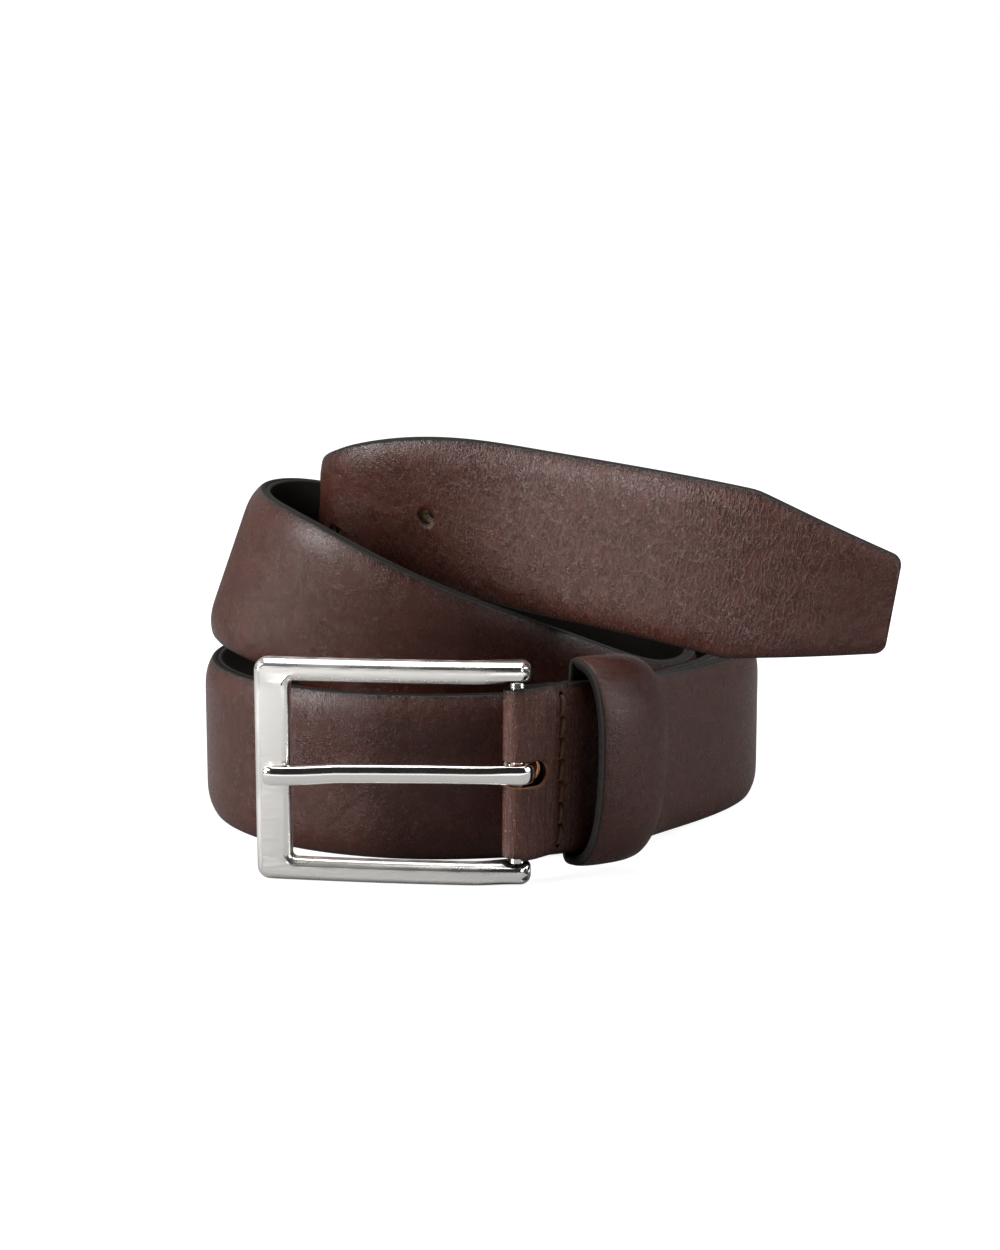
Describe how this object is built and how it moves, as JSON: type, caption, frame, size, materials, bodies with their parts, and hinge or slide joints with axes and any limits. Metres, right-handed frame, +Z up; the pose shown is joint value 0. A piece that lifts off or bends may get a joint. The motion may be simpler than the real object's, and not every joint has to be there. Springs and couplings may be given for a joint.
{
  "type": "leather belt",
  "caption": "Coiled leather dress belt with a stitched keeper loop and a pronged rectangular buckle that pivots on a heel bar.",
  "frame": {"origin": "middle of the coiled belt's footprint, on the surface that it stands on", "axes": "+X along the longest side, towards the belt's free end; the buckle faces -Y; +Z up, along the width of the strap's outer turns"},
  "size_m": [0.147, 0.1362, 0.0861],
  "materials": {
    "grain_leather": "smooth dark chocolate brown grain with a soft sheen",
    "leatherboard": "raw fibrous board",
    "lining_leather": "dark matt lining with painted edges",
    "brown_thread": "waxed polyester thread",
    "brushed_nickel": "satin nickel plate with brighter rounded edges",
    "polished_nickel": "polished nickel plate"
  },
  "bodies": {
    "strap": {"strap_grain_ply": "grain_leather", "strap_core_filler": "leatherboard", "strap_lining_ply": "lining_leather", "keeper_band": "grain_leather", "needle_thread_bar_row": "brown_thread", "bobbin_thread_bar_row": "brown_thread", "needle_thread_keeper_row": "brown_thread", "bobbin_thread_keeper_row": "brown_thread"},
    "buckle": {"buckle_frame": "brushed_nickel", "heel_bar": "brushed_nickel"},
    "prong": {"prong": "polished_nickel"}
  },
  "joints": [
    {"name": "buckle_pivot", "type": "hinge", "parent": "strap", "child": "buckle", "pos_m": [-0.00263, -0.06434, 0.02275], "axis": [0, 0, 1], "range_deg": [-10, 35]},
    {"name": "prong_pivot", "type": "hinge", "parent": "buckle", "child": "prong", "pos_m": [-0.00263, -0.06434, 0.02275], "axis": [0, 0, 1], "range_deg": [0, 65]}
  ]
}
